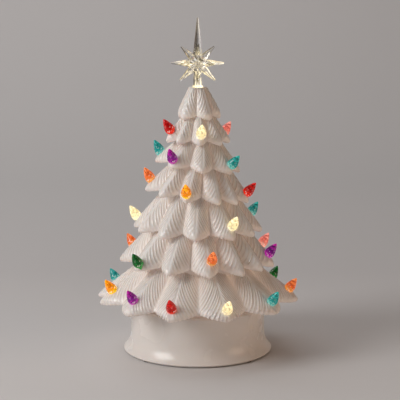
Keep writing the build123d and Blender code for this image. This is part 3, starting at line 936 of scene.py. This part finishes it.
    def build(self, material: Material) -> Object:
        """Makes the whole tree as one mesh in the place of its solid.

        Args:
            material: Glaze of the tree.

        Returns:
            The dressed tree.
        """
        points, faces, pool_and_shade, painted_glow = zip(*[self.ring(tier) for tier in self.tiers])
        starts = np.cumsum([0] + [len(ring) for ring in points])
        sides = np.concatenate([ring + start for ring, start in zip(faces, starts)])
        piece = add_object("glazed_tree", new_mesh("glazed_tree", np.concatenate(points), sides, material))
        set_attribute(piece.data, "pool_and_shade", np.concatenate(pool_and_shade))
        set_attribute(piece.data, "painted_glow", np.concatenate(painted_glow))
        self.merge(piece.data)
        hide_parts("tree_shell")
        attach(piece, "tree")
        return piece

    def merge(self, mesh: Mesh) -> None:
        """Joins the points that the slanted rows leave on one spot, and turns all faces outwards.

        Args:
            mesh: Mesh of the tree.
        """
        work = bmesh.new()
        work.from_mesh(mesh)
        bmesh.ops.remove_doubles(work, verts=work.verts, dist=self.merge_gap * MM)
        bmesh.ops.recalc_face_normals(work, faces=work.faces)
        work.to_mesh(mesh)
        work.free()
        mesh.shade_smooth()

    def crest_height(self, tier: Tier, radius: float) -> float:
        """Height of a bough's crest before the tier's lean.

        Args:
            tier: Tier of the bough.
            radius: Where on the crest.

        Returns:
            The height.
        """
        nose, nose_height = tier.nose
        if radius > nose:
            return tier.tip + self.nose_rise * (tier.radius - radius) / (tier.radius - nose)
        root, root_height = tier.root
        return nose_height + (root_height - nose_height) * (nose - radius) / (nose - root)

    def bulb_frame(self, tier: Tier, turn: float, rise: float, inset_share: float, sink: float) -> Matrix:
        """Place of a bulb's shoulder, with +Z out along the bulb.

        Args:
            tier: Tier that the bulb is on.
            turn: Angle of the bulb from the front.
            rise: Angle of the bulb above the horizon.
            inset_share: Distance of the shoulder inside the tips, as a share of their radius.
            sink: Depth of the shoulder under the bough's crest.

        Returns:
            The bulb's matrix in the frame, in metres.
        """
        angle, up = math.radians(turn), math.radians(rise)
        out = Vector((math.sin(angle), -math.cos(angle), 0))
        axis = out * math.cos(up) + Vector((0, 0, math.sin(up)))
        radius = tier.radius * (1 - inset_share)
        place = (out * radius + Vector((0, 0, self.crest_height(tier, radius))) - axis * sink) * MM
        upright = axis.to_track_quat("Z", "Y").to_matrix().to_4x4()
        return tier.lean_matrix @ Matrix.Translation(place) @ upright


@dataclass
class BulbSet:
    """Pointed plug bulbs with small cut facets round their lower half.

    Lengths are in millimetres and angles in degrees. The facets' twist is in radians of their wave.
    """

    tree: TreeShell
    radius: float = 5.7
    length: float = 17.2
    peg_radius: float = 2.9
    peg_length: float = 6.0
    peg_lead: float = 0.8
    sink: float = 1.5
    rise: float = 55.0
    columns: int = 48
    corner_cuts: int = 2
    facets: int = 12
    facet_depth: float = 0.3
    facet_middle_share: float = 0.25
    facet_reach_share: float = 0.25
    facet_twist: float = 6.0
    outline_shares: tuple[Pair, ...] = (
        (0.74, 0.0), (0.92, 0.08), (1.0, 0.2), (0.99, 0.3),
        (0.9, 0.44), (0.7, 0.62), (0.43, 0.81), (0.17, 0.95),
    )
    inset_shares: tuple[tuple[float, ...], ...] = (
        (),
        (0.14, 0.11, 0.06, 0.12),
        (0.12, 0.08, 0.09, 0.1, 0.1),
        (0.107, 0.04, 0.067, 0.08, 0.08),
        (0.06, 0.09, 0.113, 0.09, 0.09),
        (0.04, 0.03, 0.115, 0.086, 0.1, 0.08, 0.08),
        (0.05, 0.13, 0.114, 0.079, 0.066, 0.081, 0.098, 0.055, 0.09, 0.09, 0.09, 0.09),
    )
    turns: tuple[tuple[float, ...], ...] = (
        (),
        (-72.0, 6.0, 123.0, 184.0),
        (-94.0, -39.0, 55.0, 164.0, 194.0),
        (-85.0, -13.0, 75.4, 150.0, 190.0),
        (-96.5, 34.0, 112.0, 178.0, 212.0),
        (-119.0, -48.5, 11.0, 76.5, 113.0, 168.0, 195.0),
        (-119.0, -71.5, -43.4, -15.3, 17.0, 50.0, 83.0, 126.0, 150.0, 173.0, 196.0, 219.0),
    )

    def outline(self) -> ndarray:
        """Half outline of a bulb.

        Returns:
            Points as (radius, height) rows, from the peg's end to near the tip.
        """
        curve = cut_corners(np.array(self.outline_shares) * (self.radius, self.length), self.corner_cuts)
        peg = [
            (self.peg_radius - self.peg_lead, -self.peg_length),
            (self.peg_radius, self.peg_lead - self.peg_length),
            (self.peg_radius, 0.0),
        ]
        return np.concatenate([peg, curve])

    def mesh(self, slot: str, material: Material) -> Mesh:
        """Makes a bulb's mesh in its own frame.

        Args:
            slot: The record's slot of the bulb's colour.
            material: Acrylic of that colour.

        Returns:
            The mesh, with how far along the bulb each point lies.
        """
        rows = self.outline()
        turn = np.linspace(0, 2 * math.pi, self.columns, endpoint=False)
        share = np.clip(rows[:, 1], 0, None) / self.length
        near = np.clip(1 - np.abs(share - self.facet_middle_share) / self.facet_reach_share, 0, 1)
        cut = self.facet_depth * near * (rows[:, 1] > 0)
        wave = np.abs(np.sin(self.facets / 2 * turn[None, :] + self.facet_twist * share[:, None]))
        ring = rows[:, :1] - cut[:, None] * (1 - wave)
        height = np.repeat(rows[:, 1:], self.columns, 1)
        grid = np.stack([ring * np.cos(turn), ring * np.sin(turn), height], -1)
        ends = [[0, 0, -self.peg_length], [0, 0, self.length]]
        points = np.concatenate([grid.reshape(-1, 3), ends]) * MM
        last = (len(rows) - 1) * self.columns
        faces: list[tuple[int, ...]] = []
        for j in range(self.columns):
            k = (j + 1) % self.columns
            for start in range(0, last, self.columns):
                over = start + self.columns
                faces.append((start + j, start + k, over + k, over + j))
            faces.append((last + self.columns, k, j))
            faces.append((last + j, last + k, last + self.columns + 1))
        mesh = new_mesh(f"plug_{slot}", points, faces, material)
        set_attribute(mesh, "along", np.append(np.repeat(share, self.columns), [0.0, 1.0]))
        return mesh

    def build(self) -> list[Object]:
        """Puts a bulb in the place of each bulb's solid.

        Returns:
            All the bulbs.
        """
        slots = {row["node"]: row["material_slot"] for row in frame["record"]["subparts"]}
        meshes = {}
        for colour in BulbColour:
            slot = colour.value.slot
            meshes[slot] = self.mesh(slot, CastAcrylic(colour).build())
        pieces = []
        for tier, turns, inset_shares in zip(self.tree.tiers, self.turns, self.inset_shares):
            for order, (turn, inset_share) in enumerate(zip(turns, inset_shares), start=1):
                node = f"bulb_tier{tier.number + 1}_{order}"
                piece = add_object(f"plug_{node}", meshes[slots[node]])
                piece.matrix_world = self.tree.bulb_frame(tier, turn, self.rise, inset_share, self.sink)
                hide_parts(node)
                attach(piece, "tree")
                pieces.append(piece)
        return pieces


def dress_solids(names: Sequence[str], finish: Material) -> list[str]:
    """Gives solids that keep their shape a finish.

    Args:
        names: Names of the solids' nodes.
        finish: Material of all of them.

    Returns:
        Names of the dressed solids.
    """
    for name in names:
        materials = frame["nodes"][name].data.materials
        materials.clear()
        materials.append(finish)
    return list(names)


@dataclass(frozen=True)
class StarTopper:
    """The clear star in the neck, in its solid's own shape."""

    acrylic: ClearAcrylic

    def dress(self) -> list[str]:
        """Gives the star its acrylic and returns its name."""
        return dress_solids(["star_topper"], self.acrylic.build())


@dataclass(frozen=True)
class GlazedBase:
    """The glazed drum and its feet, in their solids' own shapes."""

    # The drum's glaze is the tree's glaze made a little darker all over, as painted shade from the boughs
    # above.
    glaze: GlazedCeramic = GlazedCeramic("glazed_earthenware_drum_shaded", ridge="#e8e1db")
    feet: Finish = Finish.RUBBER

    def dress(self) -> list[str]:
        """Glazes the drum, gives the feet their rubber and returns both names."""
        drum = dress_solids(["base_shell"], self.glaze.build())
        return drum + dress_solids(["rubber_feet"], self.feet.value.build())


@dataclass(frozen=True)
class BatteryLamp:
    """The plate, battery box, switch, lamp and wires in the base, in their solids' own shapes."""

    finishes: tuple[tuple[Finish, tuple[str, ...]], ...] = (
        (Finish.ABS, ("base_plate", "battery_door", "battery_box", "lamp_post")),
        (Finish.CELL, ("batteries",)),
        (Finish.NICKEL, ("contact_plates", "contact_springs")),
        (Finish.ZINC, ("box_screws",)),
        (Finish.BLACK_ABS, ("switch_body", "switch_slider")),
        (Finish.BOARD, ("lamp_board",)),
        (Finish.DIODE, ("lamp_diodes",)),
        (Finish.RED_PVC, ("wire_red",)),
        (Finish.BLACK_PVC, ("wire_black", "wire_link")),
    )

    def dress(self) -> list[str]:
        """Gives each solid of the lamp its finish.

        Returns:
            Names of the dressed solids.
        """
        dressed = []
        for finish, names in self.finishes:
            dressed += dress_solids(names, finish.value.build())
        return dressed


@dataclass(frozen=True)
class Lamp:
    """A soft square lamp; lengths in metres, power in watts."""

    name: str
    place: tuple[float, float, float]
    aim: tuple[float, float, float]
    size: float
    power: float
    colour: str

    def add(self) -> None:
        """Puts the lamp in the scene, turned to its aim."""
        data = bpy.data.lights.new(self.name, "AREA")
        data.size = self.size
        data.energy = self.power
        data.color = linear(self.colour)[:3]
        lamp = add_object(self.name, data)
        lamp.location = self.place
        facing = Vector(self.aim) - Vector(self.place)
        lamp.rotation_euler = facing.to_track_quat("-Z", "Y").to_euler()


@dataclass
class Studio:
    """Grey paper sweep, window light from the left, a room round it and the photograph's camera.

    Lengths are in metres and angles in degrees. The paper's tooth is drawn coarser than the real one, so
    that it shows in the render.
    """

    distance: float = 1.5
    height: float = 0.424
    pitch: float = -9.675
    focal_pixels: float = 1379.2
    axis_pixel: float = 197.7
    sensor: float = 36.0
    farthest: float = 50.0
    sweep_half_width: float = 5.0
    sweep_front: float = -4.0
    sweep_flat_end: float = 1.2
    sweep_bend: float = 2.2
    sweep_bend_steps: int = 16
    sweep_top: float = 4.0
    paper_front: float = -0.2
    paper_back: float = 3.0
    # Grey of the paper with painted light and shade: paler near the camera and on the backdrop than between.
    paper_tones_and_light: tuple[tuple[float, str], ...] = (
        (0.0, "#d6d3d2"), (0.2, "#c4c1c1"), (0.45, "#cac8c8"), (1.0, "#dedbdb"),
    )
    paper_roughness: float = 0.8
    tooth_mm: float = 10 / 9
    tooth_tint: float = 0.03
    room_tones: tuple[tuple[float, str], ...] = ((0.2, "#efe8e3"), (0.85, "#8f8178"))
    room_light: float = 0.27
    wall_colour: str = "#a9a4a1"
    lamps: tuple[Lamp, ...] = (
        Lamp("window_key", (-1.75, -0.9, 1.2), (0.0, 0.0, 0.16), 1.1, 26.0, "#fffefd"),
        Lamp("ceiling_fill", (-0.9, 1.2, 2.6), (-0.6, 1.3, 0.0), 2.6, 25.0, "#ffffff"),
        Lamp("room_bounce", (1.9, -0.75, 0.5), (0.0, 0.0, 0.12), 1.0, 7.5, "#ffdcbc"),
    )

    def camera(self) -> None:
        """Sets the camera at the photograph's viewing angle."""
        data = bpy.data.cameras.new("photo_camera")
        data.sensor_width = self.sensor
        data.lens = self.focal_pixels * self.sensor / IMAGE_SIDE
        data.shift_x = (IMAGE_SIDE / 2 - self.axis_pixel) / IMAGE_SIDE
        data.clip_end = self.farthest
        camera = add_object("photo_camera", data)
        camera.location = (0, -self.distance, self.height)
        camera.rotation_euler = (math.radians(90 + self.pitch), 0, 0)
        bpy.context.scene.camera = camera

    def paper(self) -> Material:
        """Makes the paper's node material: matt to the eye, with painted light and shade that make it a little
        paler near and far than between.

        Returns:
            The material.
        """
        material, tree, shader, place = blank_material("matt_paper_sweep")
        back = add_node(tree, "SeparateXYZ", {0: place}, "Y")
        reach = add_node(tree, "MapRange", {"Value": back, FROM: (self.paper_front, self.paper_back)})
        tooth = add_node(tree, "TexNoise", {"Vector": place, "Scale": 1 / (self.tooth_mm * MM)})
        flecks = {0: tooth, 1: self.tooth_tint, 2: reach}
        fleck = add_node(tree, "Math", flecks, operation="MULTIPLY_ADD")
        tone = add_node(tree, "ValToRGB", {"Fac": fleck}, stops=self.paper_tones_and_light)
        set_inputs(tree, shader, {"Base Color": tone, "Roughness": self.paper_roughness})
        return material

    def sweep(self) -> None:
        """Makes the floor and the backdrop as one curved sheet."""
        profile = [(self.sweep_front, 0.0), (self.sweep_flat_end, 0.0)]
        for turn in np.linspace(0, math.pi / 2, self.sweep_bend_steps + 1)[1:]:
            back = self.sweep_flat_end + self.sweep_bend * math.sin(turn)
            profile.append((back, self.sweep_bend * (1 - math.cos(turn))))
        profile.append((self.sweep_flat_end + self.sweep_bend, self.sweep_top))
        half = self.sweep_half_width
        points = [(x, y, z) for y, z in profile for x in (-half, half)]
        faces = [(2 * i, 2 * i + 1, 2 * i + 3, 2 * i + 2) for i in range(len(profile) - 1)]
        sheet = new_mesh("paper_sweep", np.array(points), faces, self.paper())
        add_object("paper_sweep", sheet)

    def room(self) -> None:
        """Surrounds the scene with a room that is brighter on the window's side."""
        world = bpy.data.worlds.new("room_light")
        world.use_nodes = True
        tree = world.node_tree
        facing = add_node(tree, "TexCoord", out="Generated")
        across = add_node(tree, "SeparateXYZ", {0: facing}, "X")
        side = add_node(tree, "MapRange", {"Value": across, FROM: (-1, 1)})
        tone = add_node(tree, "ValToRGB", {"Fac": side}, stops=self.room_tones)
        light = tree.nodes["Background"]
        set_inputs(tree, light, {"Color": tone, "Strength": self.room_light})
        wall = add_node(tree, "Background", {"Color": linear(self.wall_colour)})
        seen = add_node(tree, "LightPath", out="Is Camera Ray")
        either = add_node(tree, "MixShader", {0: seen, 1: light.outputs["Background"], 2: wall})
        set_inputs(tree, tree.nodes["World Output"], {"Surface": either})
        bpy.context.scene.world = world

    def build(self) -> None:
        """Sets up the whole studio."""
        self.camera()
        self.sweep()
        for lamp in self.lamps:
            lamp.add()
        self.room()
        bpy.context.scene.view_settings.view_transform = "Standard"


def main() -> None:
    """Builds every piece in order and reports it."""
    logging.basicConfig(level=logging.INFO, format="%(message)s")
    tree = TreeShell()
    shell = tree.build(GlazedCeramic().build())
    LOG.info("%s: %d faces", shell.name, len(shell.data.polygons))
    for bulb in BulbSet(tree).build():
        LOG.info("%s", bulb.name)
    star = StarTopper(ClearAcrylic(tree.neck_height))
    for assembly in (star, GlazedBase(), BatteryLamp()):
        for name in assembly.dress():
            LOG.info("%s", name)
    Studio().build()
    LOG.info("studio")


if __name__ == "__main__":
    main()
